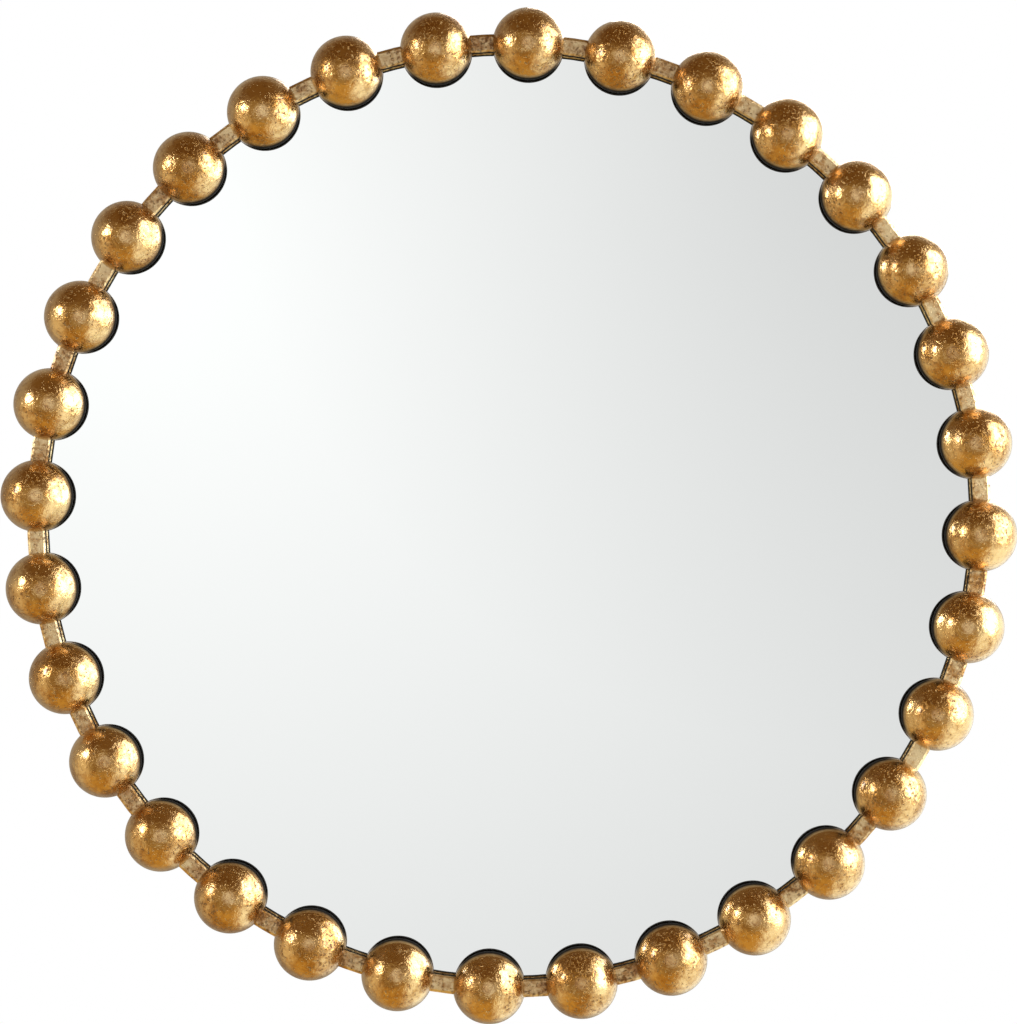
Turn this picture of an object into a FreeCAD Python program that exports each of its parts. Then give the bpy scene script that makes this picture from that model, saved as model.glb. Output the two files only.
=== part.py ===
# Round wall mirror in a ring of gilded balls, each piece a solid of its own, in millimetres.
#
# The balls are turned wood, threaded on a flat steel hoop that shows between them. Each ball has
# a slot that follows the hoop, and a rabbet behind it that holds the edge of the mirror panel:
# foam tape, glass, foam sheet and board. Steel lugs welded to the back of the hoop clamp the panel.
# The mirror hangs by two hinged D-rings, and rubber bumpers hold it off the wall.
#
# +Z is up, and the mirror faces -Y. The origin is the middle of the mirror on the wall's surface.
# A piece is drawn about the middle of the ring, where y = 0 is the plane of the balls' centres, or
# about its own seat, and its Placement carries it to its place.
import FreeCAD, Part
import os
import re

import Sketcher
from FreeCAD import Rotation, Vector

DRIVING_SIZES = (
    ("bead_count", 32, "balls round the ring"),
    ("bead_diameter", 65, "one turned ball"),
    ("bead_gap", 18.3, "from one ball to the next, where the hoop shows"),
    ("hoop_width", 16.5, "flat bar of the hoop, across its front face"),
    ("hoop_depth", 7, "flat bar of the hoop, front to back"),
    ("hoop_bevel_width", 2.4, "eased edges of the flat bar, across"),
    ("hoop_bevel_depth", 1.4, "eased edges of the flat bar, front to back"),
    ("slot_clearance", 0.15, "gap between the hoop and its slot in a ball"),
    ("panel_lap", 6.25, "how far the glass reaches behind the hoop"),
    ("rabbet_clearance", 1, "gap between the panel's edge and the balls' rabbet"),
    ("tape_thickness", 4.5, "foam glazing tape between hoop and glass"),
    ("tape_width", 3.6, "foam glazing tape, across"),
    ("tape_inset", 2.6, "hoop's inner edge to the tape, out of sight from the front"),
    ("glass_thickness", 4, "silvered float glass"),
    ("glass_arris", 0.4, "ground arris round both edges of the glass"),
    ("foam_thickness", 2, "foam sheet that protects the paint behind the silver"),
    ("foam_margin", 2, "the foam sheet stops short of the glass edge"),
    ("board_thickness", 9, "backing board"),
    ("board_chamfer", 1, "broken edges of the board"),
    ("wall_gap", 1.5, "the backs of the balls clear the wall by this much"),
    ("beads_per_lug", 4, "one clamping lug for so many balls"),
    ("lug_side_gap", 2.2, "gap between a lug and the balls beside it"),
    ("lug_thickness", 3, "bent steel strip of a lug"),
    ("lug_bend_radius", 1, "inside of a lug's bend"),
    ("lug_screw_inset", 8, "edge of the board to the middle of a lug's screw"),
    ("lug_end_margin", 7, "middle of a lug's screw to the end of the lug"),
    ("lug_weld", 3, "leg of the weld at a lug's foot"),
    ("screw_hole_diameter", 4.5, "hole for a screw in lugs, straps and bumpers"),
    ("screw_diameter", 3.5, "shank of a wood screw"),
    ("screw_head_diameter", 7.6, "pan head"),
    ("screw_head_height", 2.4, "pan head"),
    ("screw_head_bevel", 0.9, "rim of the pan head"),
    ("screw_bite", 6.5, "length of a screw inside the board"),
    ("screw_point", 2.5, "length of a screw's point"),
    ("pilot_clearance", 0.05, "gap between a shank and its pilot hole in the board"),
    ("pilot_spare", 0.5, "a pilot hole is deeper than its screw by this much"),
    ("bumper_count", 4, "wall bumpers"),
    ("bumper_margin", 26, "edge of the board to the edge of a bumper"),
    ("bumper_base_diameter", 24, "rubber bumper where it sits on the board"),
    ("bumper_tip_diameter", 20, "rubber bumper where it meets the wall"),
    ("bumper_bevel", 1.2, "rim of the bumper's tip"),
    ("bumper_floor", 3, "rubber under the screw head"),
    ("bumper_well_gap", 0.7, "gap between a screw head and the bumper's well"),
    ("hanger_spacing", 400, "middle of one D-ring to the middle of the other"),
    ("hanger_height", 215, "hinge line of the D-rings above the middle of the mirror"),
    ("strap_width", 16, "hanger strap"),
    ("strap_sheet", 1.2, "sheet that is folded double round the D-ring"),
    ("strap_length", 52, "hinge line to the lower end of the strap"),
    ("strap_corner_radius", 5, "rounded lower corners of the strap"),
    ("strap_neck", 8.6, "hinge line to where the two layers meet"),
    ("strap_first_hole", 28, "hinge line to the first screw"),
    ("strap_hole_spacing", 14, "first screw to the second"),
    ("eye_clearance", 0.08, "running gap between the D-ring's bar and the folded eye"),
    ("ring_wire", 3.5, "round wire of the D-ring"),
    ("ring_side_gap", 0.75, "gap between the strap's side and the D-ring"),
    ("ring_height", 20, "hinge line to the middle of the wire at the top of the bow"),
    ("ring_rest_gap", 0.3, "the bow leans back to this far from the board"),
)

# Sizes that follow from the driving ones, for use inside an expression.
BEAD_PITCH = "(360 / bead_count)"
RING_RADIUS = f"((bead_diameter + bead_gap) / (2 * sin({BEAD_PITCH} / 2)))"
HOOP_INNER_RADIUS = f"({RING_RADIUS} - hoop_width / 2)"
HOOP_OUTER_RADIUS = f"({RING_RADIUS} + hoop_width / 2)"
HOOP_BACK = "(hoop_depth / 2)"
PANEL_RADIUS = f"({HOOP_INNER_RADIUS} + panel_lap)"
RABBET_RADIUS = f"({PANEL_RADIUS} + rabbet_clearance)"
GLASS_FRONT = f"({HOOP_BACK} + tape_thickness)"
GLASS_BACK = f"({GLASS_FRONT} + glass_thickness)"
BOARD_FRONT = f"({GLASS_BACK} + foam_thickness)"
BOARD_BACK = f"({BOARD_FRONT} + board_thickness)"
WALL = "(bead_diameter / 2 + wall_gap)"
BUMPER_RADIUS = f"({PANEL_RADIUS} - bumper_margin - bumper_base_diameter / 2)"
LUG_HALF_WIDTH = "(bead_gap / 2 - lug_side_gap)"
LUG_SCREW_RADIUS = f"({PANEL_RADIUS} - lug_screw_inset)"
LUG_END_RADIUS = f"({LUG_SCREW_RADIUS} - lug_end_margin)"
STRAP_THICKNESS = "(2 * strap_sheet)"
EYE_INNER_RADIUS = "(ring_wire / 2 + eye_clearance)"
EYE_OUTER_RADIUS = f"({EYE_INNER_RADIUS} + strap_sheet)"
HINGE_Y = f"({BOARD_BACK} + {EYE_OUTER_RADIUS})"
STRAP_HOLES = ("strap_first_hole", "(strap_first_hole + strap_hole_spacing)")
RING_HALF_WIDTH = "(strap_width / 2 + ring_side_gap + ring_wire / 2)"
RING_BEND_RADIUS = "(ring_wire / 2 + ring_side_gap)"
RING_LEAN = f"asin(({EYE_OUTER_RADIUS} - ring_wire / 2 - ring_rest_gap) / ring_height)"

# Places closer than this are the same place.
TINY = 1e-4
# Degrees from which a sketch starts to look for the exact slope of a strap below its eye.
FIRST_SLOPE = 25

doc = FreeCAD.newDocument("BeadedMirror")
sheet = doc.addObject("Spreadsheet::Sheet", "Sizes")
for row, (alias, number, note) in enumerate(DRIVING_SIZES, start=1):
    sheet.set(f"A{row}", alias.replace("_", " "))
    sheet.set(f"B{row}", str(number))
    sheet.set(f"C{row}", note)
    sheet.setAlias(f"B{row}", alias)
doc.recompute()

SIZE_NAMES = re.compile(r"\b(" + "|".join(alias for alias, _, _ in DRIVING_SIZES) + r")\b")


def bound(text):
    """Write an expression with each size read from the sheet."""
    return SIZE_NAMES.sub(r"Sizes.\1", text)


def value(text):
    """Work out an expression now, as a plain number."""
    result = sheet.evalExpression(bound(text))
    return float(getattr(result, "Value", result))


def link(thing, name, text):
    """Bind one property of an object to the sheet."""
    thing.setExpression(name, bound(text))


# ---- Sketches and features -------------------------------------------------------------------


def new_body(label):
    """Start a piece, named as its file is."""
    body = doc.addObject("PartDesign::Body", label)
    body.Label = label
    return body


def origin_part(body, role):
    """Find a plane or an axis of the body's own origin."""
    return next(part for part in body.Origin.OriginFeatures if part.Role == role)


def new_sketch(body, name, role, y_place=None):
    """Attach a sketch to one of the body's planes; y_place moves one on the XZ plane back."""
    sketch = body.newObject("Sketcher::SketchObject", f"{body.Name}_{name}")
    sketch.AttachmentSupport = (origin_part(body, role), [""])
    sketch.MapMode = "FlatFace"
    if y_place is not None:
        link(sketch, "AttachmentOffset.Base.z", f"-({y_place})")
    return sketch


def fix_size(sketch, constraint, text):
    """Add one dimension, bound to the sheet."""
    index = sketch.addConstraint(constraint)
    link(sketch, f"Constraints[{index}]", text)


def fix_point(sketch, curve, end, across, along):
    """Hold one end of a curve at a place measured from the sketch's origin."""
    x_now, y_now = value(across), value(along)
    fix_size(sketch, Sketcher.Constraint("DistanceX", -1, 1, curve, end, x_now), across)
    fix_size(sketch, Sketcher.Constraint("DistanceY", -1, 1, curve, end, y_now), along)


def draw_polygon(sketch, corners):
    """Draw a closed outline through corners, each a pair of expressions."""
    places = [Vector(value(across), value(along), 0) for across, along in corners]
    following = places[1:] + places[:1]
    lines = [sketch.addGeometry(Part.LineSegment(a, b)) for a, b in zip(places, following)]
    for line, next_line in zip(lines, lines[1:] + lines[:1]):
        sketch.addConstraint(Sketcher.Constraint("Coincident", line, 2, next_line, 1))
    for line, (across, along) in zip(lines, corners):
        fix_point(sketch, line, 1, across, along)


def draw_circle(sketch, across, along, radius):
    """Draw a circle about a place measured from the sketch's origin."""
    centre = Vector(value(across), value(along), 0)
    circle = sketch.addGeometry(Part.Circle(centre, Vector(0, 0, 1), value(radius)))
    fix_size(sketch, Sketcher.Constraint("Radius", circle, value(radius)), radius)
    fix_point(sketch, circle, 3, across, along)


def draw_arc(sketch, centre, start, end):
    """Draw an arc anticlockwise from start to end, given as vectors; return its index."""
    spoke = start - centre
    circle = Part.Circle(centre, Vector(0, 0, 1), spoke.Length)
    return sketch.addGeometry(Part.ArcOfCircle(circle, circle.parameter(start), circle.parameter(end)))


def draw_bar_section(sketch, clearance):
    """Draw the hoop's flat bar with eased edges, grown all round by a clearance."""
    inner = f"({HOOP_INNER_RADIUS} - {clearance})"
    outer = f"({HOOP_OUTER_RADIUS} + {clearance})"
    half_depth = f"(hoop_depth / 2 + {clearance})"
    draw_polygon(sketch, [
        (f"-{half_depth} + hoop_bevel_depth", inner),
        (f"{half_depth} - hoop_bevel_depth", inner),
        (half_depth, f"{inner} + hoop_bevel_width"),
        (half_depth, f"{outer} - hoop_bevel_width"),
        (f"{half_depth} - hoop_bevel_depth", outer),
        (f"-{half_depth} + hoop_bevel_depth", outer),
        (f"-{half_depth}", f"{outer} - hoop_bevel_width"),
        (f"-{half_depth}", f"{inner} + hoop_bevel_width"),
    ])


def add_feature(body, kind, name, sketch):
    """Add a PartDesign feature that works from a sketch."""
    feature = body.newObject(f"PartDesign::{kind}", f"{body.Name}_{name}")
    feature.Profile = sketch
    return feature


def revolve(body, name, sketch, axis, turn=360):
    """Turn a sketch about one of its own axes."""
    feature = add_feature(body, "Revolution", name, sketch)
    feature.ReferenceAxis = (sketch, [axis])
    feature.Angle = turn
    return feature


def pad(body, name, sketch, length, both_ways=False, reverse=False):
    """Raise a sketch by a length, or by half of it each way."""
    feature = add_feature(body, "Pad", name, sketch)
    feature.Midplane = both_ways
    feature.Reversed = reverse
    link(feature, "Length", length)
    return feature


def check_cut(feature, volume_before):
    """Stop if a cut has taken nothing away."""
    doc.recompute()
    if not feature.Shape.Volume < volume_before:
        raise RuntimeError(f"{feature.Name} cuts nothing")


def groove(body, name, sketch, turn):
    """Cut a sketch out along an arc about the mirror's own axis."""
    doc.recompute()
    volume_before = body.Tip.Shape.Volume
    feature = add_feature(body, "Groove", name, sketch)
    feature.ReferenceAxis = (sketch, ["H_Axis"])
    feature.Midplane = True
    link(feature, "Angle", turn)
    check_cut(feature, volume_before)
    return feature


def pocket(body, name, sketch, depth):
    """Cut a sketch out to a depth, towards the front."""
    doc.recompute()
    volume_before = body.Tip.Shape.Volume
    feature = add_feature(body, "Pocket", name, sketch)
    feature.Reversed = True
    link(feature, "Length", depth)
    check_cut(feature, volume_before)
    return feature


def dress(body, kind, name, size_property, size, wanted):
    """Fillet or chamfer the edges of the tip that the test accepts."""
    doc.recompute()
    base = body.Tip
    names = [f"Edge{i}" for i, edge in enumerate(base.Shape.Edges, start=1) if wanted(edge)]
    feature = body.newObject(f"PartDesign::{kind}", f"{body.Name}_{name}")
    feature.Base = (base, names)
    link(feature, size_property, size)
    return feature


def repeat_round(body, name, feature, count, step):
    """Repeat a cut about the Y axis, a step apart."""
    pattern = body.newObject("PartDesign::PolarPattern", f"{body.Name}_{name}")
    pattern.Originals = [feature]
    pattern.Axis = (origin_part(body, "Y_Axis"), [""])
    pattern.Mode = "Spacing"
    link(pattern, "Offset", step)
    link(pattern, "Occurrences", count)
    body.Tip = pattern
    return pattern


def along_x(edge, y_place, z_place):
    """Tell whether an edge runs along X through a place in the YZ plane."""
    ends = [vertex.Point for vertex in edge.Vertexes]
    if len(ends) != 2 or abs(ends[0].x - ends[1].x) < TINY:
        return False
    return all(
        abs(end.y - value(y_place)) < TINY and abs(end.z - value(z_place)) < TINY for end in ends
    )


def is_lower_corner(edge):
    """Tell whether an edge runs front to back at a lower corner of the strap."""
    ends = [vertex.Point for vertex in edge.Vertexes]
    return (
        len(ends) == 2
        and abs(ends[0].y - ends[1].y) > TINY
        and all(abs(end.z + value("strap_length")) < TINY for end in ends)
    )


def place(thing, y_place, radius="0", angle="0"):
    """Carry a piece out along a radius of the mirror that stands at an angle to the top."""
    link(
        thing,
        "Placement",
        f"placement(vector(({radius}) * sin({angle}); ({y_place}) - {WALL};"
        f" ({radius}) * cos({angle})); rotation(vector(0; 1; 0); {angle}))",
    )


def copy_body(master, label):
    """Make a body with the same shape as another, to be placed by itself."""
    body = new_body(label)
    copy = body.newObject("PartDesign::FeatureBase", f"{label}_shape")
    copy.BaseFeature = master
    body.Tip = copy
    return body


def ring_angles(count, first, step):
    """List the angles of pieces spaced round the mirror, clockwise from the top."""
    return [f"({first} + {index} * {step})" for index in range(count)]


BEAD_ANGLES = ring_angles(int(value("bead_count")), "0", BEAD_PITCH)
LUG_COUNT = "floor(bead_count / beads_per_lug)"
LUG_STEP = f"(beads_per_lug * {BEAD_PITCH})"
LUG_ANGLES = ring_angles(int(value(LUG_COUNT)), f"{BEAD_PITCH} / 2", LUG_STEP)
BUMPER_STEP = "(360 / bumper_count)"
BUMPER_ANGLES = ring_angles(int(value("bumper_count")), f"{BUMPER_STEP} / 2", BUMPER_STEP)
SIDES = {"left": -1, "right": 1}


# ---- The gilded ring -------------------------------------------------------------------------


def make_first_bead():
    """Turn a ball at the top of the ring, slot it for the hoop and rabbet it for the panel."""
    body = new_body("bead_01")
    half = new_sketch(body, "half_disc", "YZ_Plane")
    radius, centre = value("bead_diameter / 2"), Vector(0, value(RING_RADIUS), 0)
    low, high = centre - Vector(0, radius, 0), centre + Vector(0, radius, 0)
    axis = half.addGeometry(Part.LineSegment(high, low))
    arc = draw_arc(half, centre, low, high)
    half.addConstraint(Sketcher.Constraint("Coincident", axis, 1, arc, 2))
    half.addConstraint(Sketcher.Constraint("Coincident", axis, 2, arc, 1))
    half.addConstraint(Sketcher.Constraint("PointOnObject", arc, 3, axis))
    fix_size(half, Sketcher.Constraint("Radius", arc, radius), "bead_diameter / 2")
    fix_point(half, arc, 3, "0", RING_RADIUS)
    half.addConstraint(Sketcher.Constraint("Vertical", axis))
    revolve(body, "ball", half, "V_Axis")

    slot = new_sketch(body, "slot_section", "YZ_Plane")
    draw_bar_section(slot, "slot_clearance")
    groove(body, "slot", slot, f"2 * {BEAD_PITCH}")

    rabbet = new_sketch(body, "rabbet_section", "YZ_Plane")
    ball_inside = f"({RING_RADIUS} - bead_diameter)"
    draw_polygon(rabbet, [
        (HOOP_BACK, ball_inside),
        (WALL, ball_inside),
        (WALL, RABBET_RADIUS),
        (HOOP_BACK, RABBET_RADIUS),
    ])
    groove(body, "rabbet", rabbet, f"2 * {BEAD_PITCH}")
    place(body, "0")
    return body


def make_beads():
    """Repeat the first ball clockwise round the ring."""
    first = make_first_bead()
    beads = [first]
    for index, angle in enumerate(BEAD_ANGLES[1:], start=2):
        bead = copy_body(first, f"bead_{index:02d}")
        place(bead, "0", angle=angle)
        beads.append(bead)
    return beads


def make_hoop():
    """Roll the flat bar into a closed ring through the balls."""
    body = new_body("hoop")
    section = new_sketch(body, "section", "YZ_Plane")
    draw_bar_section(section, "0")
    revolve(body, "rolled_bar", section, "H_Axis")
    place(body, "0")
    return body


# ---- The mirror panel ------------------------------------------------------------------------


def make_disc(label, radius, front, thickness, inner_radius=None):
    """Cut a flat disc or ring whose front face lies at a place behind the balls' centres."""
    body = new_body(label)
    circle = new_sketch(body, "circle", "XZ_Plane", y_place=front)
    draw_circle(circle, "0", "0", radius)
    if inner_radius is not None:
        draw_circle(circle, "0", "0", inner_radius)
    pad(body, "sheet", circle, thickness, reverse=True)
    place(body, "0")
    return body


def make_glazing_tape():
    """Lay a ring of foam tape on the back of the hoop."""
    inner = f"({HOOP_INNER_RADIUS} + tape_inset)"
    return make_disc("glazing_tape", f"{inner} + tape_width", HOOP_BACK, "tape_thickness", inner)


def make_glass():
    """Cut the silvered glass and grind an arris on both edges."""
    body = make_disc("mirror_glass", PANEL_RADIUS, GLASS_FRONT, "glass_thickness")
    dress(body, "Chamfer", "arris", "Size", "glass_arris",
          lambda edge: isinstance(edge.Curve, Part.Circle))
    return body


def make_foam_sheet():
    """Cut the foam sheet that lies between the glass and the board."""
    return make_disc("foam_sheet", f"{PANEL_RADIUS} - foam_margin", GLASS_BACK, "foam_thickness")


def drill_pilot_holes(body, name, places):
    """Drill a pilot hole into the back of the board at each place."""
    sketch = new_sketch(body, name, "XZ_Plane", y_place=BOARD_BACK)
    for across, along in places:
        draw_circle(sketch, across, along, "screw_diameter / 2 + pilot_clearance")
    return pocket(body, f"{name}_cut", sketch, "screw_bite + pilot_spare")


def make_board():
    """Cut the backing board and drill it for the screws of lugs, bumpers and straps."""
    body = make_disc("back_board", PANEL_RADIUS, BOARD_FRONT, "board_thickness")
    dress(body, "Chamfer", "broken_edges", "Size", "board_chamfer",
          lambda edge: isinstance(edge.Curve, Part.Circle))
    rings = (
        ("lug_pilots", LUG_SCREW_RADIUS, LUG_ANGLES[0], LUG_COUNT, LUG_STEP),
        ("bumper_pilots", BUMPER_RADIUS, BUMPER_ANGLES[0], "bumper_count", BUMPER_STEP),
    )
    for name, radius, angle, count, step in rings:
        first = (f"{radius} * sin({angle})", f"{radius} * cos({angle})")
        cut = drill_pilot_holes(body, name, [first])
        repeat_round(body, f"{name}_round", cut, count, step)
    drill_pilot_holes(body, "strap_pilots", [
        (f"{side} * hanger_spacing / 2", f"hanger_height - {drop}")
        for side in SIDES.values()
        for drop in STRAP_HOLES
    ])
    return body


# ---- Lugs, bumpers and screws ----------------------------------------------------------------


def make_first_lug():
    """Bend a strip that stands on the back of the hoop and turns in over the board."""
    body = new_body("lug_1")
    back = f"({BOARD_BACK} + lug_thickness)"
    top = f"({RABBET_RADIUS} + lug_thickness)"
    strip = new_sketch(body, "strip_section", "YZ_Plane")
    draw_polygon(strip, [
        (HOOP_BACK, RABBET_RADIUS),
        (BOARD_BACK, RABBET_RADIUS),
        (BOARD_BACK, LUG_END_RADIUS),
        (back, LUG_END_RADIUS),
        (back, top),
        (HOOP_BACK, top),
    ])
    pad(body, "strip", strip, f"2 * {LUG_HALF_WIDTH}", both_ways=True)
    dress(body, "Fillet", "inner_bend", "Radius", "lug_bend_radius",
          lambda edge: along_x(edge, BOARD_BACK, RABBET_RADIUS))
    dress(body, "Fillet", "outer_bend", "Radius", "lug_bend_radius + lug_thickness",
          lambda edge: along_x(edge, back, top))

    weld = new_sketch(body, "weld_section", "YZ_Plane")
    draw_polygon(weld, [
        (HOOP_BACK, top),
        (f"{HOOP_BACK} + lug_weld", top),
        (HOOP_BACK, f"{top} + lug_weld"),
    ])
    pad(body, "weld", weld, f"2 * {LUG_HALF_WIDTH} - lug_weld", both_ways=True)

    hole = new_sketch(body, "hole", "XZ_Plane", y_place=back)
    draw_circle(hole, "0", LUG_SCREW_RADIUS, "screw_hole_diameter / 2")
    pocket(body, "screw_hole", hole, "lug_thickness")
    place(body, "0", angle=LUG_ANGLES[0])
    return body


def make_lugs():
    """Repeat the first lug in the gaps between balls."""
    first = make_first_lug()
    lugs = [first]
    for index, angle in enumerate(LUG_ANGLES[1:], start=2):
        lug = copy_body(first, f"lug_{index}")
        place(lug, "0", angle=angle)
        lugs.append(lug)
    return lugs


def make_screw(label, grip):
    """Turn a pan-head wood screw whose head seats at y = 0 and whose point looks to -Y."""
    body = new_body(label)
    shank = f"({grip} + screw_bite)"
    half = new_sketch(body, "half_section", "YZ_Plane")
    draw_polygon(half, [
        (f"-{shank}", "0"),
        (f"-{shank} + screw_point", "screw_diameter / 2"),
        ("0", "screw_diameter / 2"),
        ("0", "screw_head_diameter / 2"),
        ("screw_head_height - screw_head_bevel", "screw_head_diameter / 2"),
        ("screw_head_height", "screw_head_diameter / 2 - screw_head_bevel"),
        ("screw_head_height", "0"),
    ])
    revolve(body, "turned", half, "H_Axis")
    return body


def gather(label, bodies):
    """Hold like pieces together as one sub-part of separate solids."""
    group = doc.addObject("Part::Compound", label)
    group.Label = label
    group.Links = bodies
    return group


def screws_round(label, grip, seat, radius, angles):
    """Put a screw at each angle round the mirror."""
    screws = [make_screw(f"{label}_1", grip)]
    screws += [copy_body(screws[0], f"{label}_{index}") for index in range(2, len(angles) + 1)]
    for screw, angle in zip(screws, angles):
        place(screw, seat, radius, angle)
    return gather(label, screws)


def make_lug_screws():
    """Screw each lug to the board."""
    seat = f"{BOARD_BACK} + lug_thickness"
    return screws_round("lug_screws", "lug_thickness", seat, LUG_SCREW_RADIUS, LUG_ANGLES)


def make_first_bumper():
    """Mould a rubber bumper that sits at y = 0, with a well for its screw."""
    body = new_body("wall_bumper_1")
    height = f"({WALL} - {BOARD_BACK})"
    well = "(screw_head_diameter / 2 + bumper_well_gap)"
    half = new_sketch(body, "half_section", "YZ_Plane")
    draw_polygon(half, [
        ("0", "screw_hole_diameter / 2"),
        ("0", "bumper_base_diameter / 2"),
        (f"{height} - bumper_bevel", "bumper_tip_diameter / 2"),
        (height, "bumper_tip_diameter / 2 - bumper_bevel"),
        (height, well),
        ("bumper_floor", well),
        ("bumper_floor", "screw_hole_diameter / 2"),
    ])
    revolve(body, "moulded", half, "H_Axis")
    return body


def make_bumpers():
    """Set the bumpers round the back of the board."""
    bumpers = [make_first_bumper()]
    for index in range(2, len(BUMPER_ANGLES) + 1):
        bumpers.append(copy_body(bumpers[0], f"wall_bumper_{index}"))
    for bumper, angle in zip(bumpers, BUMPER_ANGLES):
        place(bumper, BOARD_BACK, BUMPER_RADIUS, angle)
    return bumpers


def make_bumper_screws():
    """Screw each bumper to the board."""
    seat = f"{BOARD_BACK} + bumper_floor"
    return screws_round("bumper_screws", "bumper_floor", seat, BUMPER_RADIUS, BUMPER_ANGLES)


# ---- D-ring hangers --------------------------------------------------------------------------


def place_hanger(thing, side, lean="0"):
    """Carry a hanger's piece to its hinge line and lean it towards the board."""
    link(
        thing,
        "Placement",
        f"placement(vector({side} * hanger_spacing / 2; {HINGE_Y} - {WALL}; hanger_height);"
        f" rotation(vector(1; 0; 0); {lean}))",
    )


def draw_fold(sketch, radius, front, drop_length):
    """Draw one face of the folded sheet: over the D-ring's bar and down both sides.

    The face is an arc about the hinge line, a straight drop on the board's side, and a slope that
    leaves the arc at a tangent and ends at the neck. Returns the drop's and the slope's indices.
    """
    top_back = Vector(value(f"-{radius}"), 0, 0)
    slope_start = Rotation(Vector(0, 0, 1), -FIRST_SLOPE) * -top_back
    arc = draw_arc(sketch, Vector(0, 0, 0), slope_start, top_back)
    drop_end = top_back - Vector(0, value(drop_length), 0)
    drop = sketch.addGeometry(Part.LineSegment(top_back, drop_end))
    slope_end = Vector(value(front), value("-strap_neck"), 0)
    slope = sketch.addGeometry(Part.LineSegment(slope_end, slope_start))
    sketch.addConstraint(Sketcher.Constraint("Coincident", arc, 3, -1, 1))
    sketch.addConstraint(Sketcher.Constraint("Tangent", arc, 2, drop, 1))
    sketch.addConstraint(Sketcher.Constraint("Tangent", slope, 2, arc, 1))
    sketch.addConstraint(Sketcher.Constraint("Vertical", drop))
    fix_size(sketch, Sketcher.Constraint("Radius", arc, -top_back.x), radius)
    return drop, slope


def make_first_strap():
    """Fold a strip double round the D-ring's bar, with both layers on the board."""
    body = new_body("hanger_strap_left")
    inner_face = f"-{EYE_INNER_RADIUS}"
    front_face = f"(-{EYE_OUTER_RADIUS} + {STRAP_THICKNESS})"
    section = new_sketch(body, "folded_section", "YZ_Plane")
    drop, slope = draw_fold(section, EYE_OUTER_RADIUS, front_face, "strap_length")
    fix_size(section, Sketcher.Constraint("DistanceY", drop, 2, -1, 1, value("strap_length")),
             "strap_length")
    fix_size(section, Sketcher.Constraint("DistanceX", -1, 1, slope, 1, value(front_face)),
             front_face)
    corner = Vector(value(front_face), value("-strap_length"), 0)
    foot = Vector(value(f"-{EYE_OUTER_RADIUS}"), value("-strap_length"), 0)
    neck = Vector(value(front_face), value("-strap_neck"), 0)
    end = section.addGeometry(Part.LineSegment(foot, corner))
    front = section.addGeometry(Part.LineSegment(corner, neck))
    section.addConstraint(Sketcher.Constraint("Coincident", drop, 2, end, 1))
    section.addConstraint(Sketcher.Constraint("Coincident", end, 2, front, 1))
    section.addConstraint(Sketcher.Constraint("Coincident", front, 2, slope, 1))
    section.addConstraint(Sketcher.Constraint("Horizontal", end))
    section.addConstraint(Sketcher.Constraint("Vertical", front))
    fix_size(section, Sketcher.Constraint("DistanceY", slope, 1, -1, 1, value("strap_neck")),
             "strap_neck")
    eye_drop, eye_slope = draw_fold(section, EYE_INNER_RADIUS, inner_face, "strap_neck")
    section.addConstraint(Sketcher.Constraint("Coincident", eye_drop, 2, eye_slope, 1))
    section.addConstraint(Sketcher.Constraint("Parallel", eye_slope, slope))
    pad(body, "strap", section, "strap_width", both_ways=True)
    dress(body, "Fillet", "lower_corners", "Radius", "strap_corner_radius", is_lower_corner)
    holes = new_sketch(body, "holes", "XZ_Plane", y_place=front_face)
    for drop_to_hole in STRAP_HOLES:
        draw_circle(holes, "0", f"-{drop_to_hole}", "screw_hole_diameter / 2")
    pocket(body, "screw_holes", holes, STRAP_THICKNESS)
    return body


def make_straps():
    """Fold the strap for each side."""
    left = make_first_strap()
    right = copy_body(left, "hanger_strap_right")
    for strap, side in zip((left, right), SIDES.values()):
        place_hanger(strap, side)
    return [left, right]


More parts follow.
